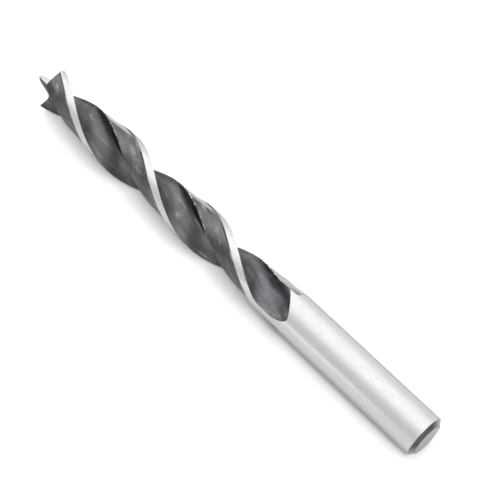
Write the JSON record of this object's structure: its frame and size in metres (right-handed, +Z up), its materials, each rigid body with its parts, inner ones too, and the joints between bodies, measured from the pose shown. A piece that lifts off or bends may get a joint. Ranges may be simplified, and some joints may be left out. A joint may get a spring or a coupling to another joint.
{
  "type": "brad point drill bit",
  "caption": "Steel wood-boring bit with a centre point, outlining spurs, helical flutes with ground margins, and a plain round shank.",
  "frame": {"origin": "under the middle of the bit's length, on the surface that it lies on", "axes": "+X along the bit's axis from the centre point towards the shank end, +Z up as the bit lies on its side"},
  "size_m": [0.12, 0.01, 0.01],
  "materials": {
    "tool_steel": "ground bright on the shank and the margins, satin grey-black in the flutes and on the body clearance"
  },
  "bodies": {
    "root": {"drill_bit": "tool_steel"}
  },
  "joints": []
}
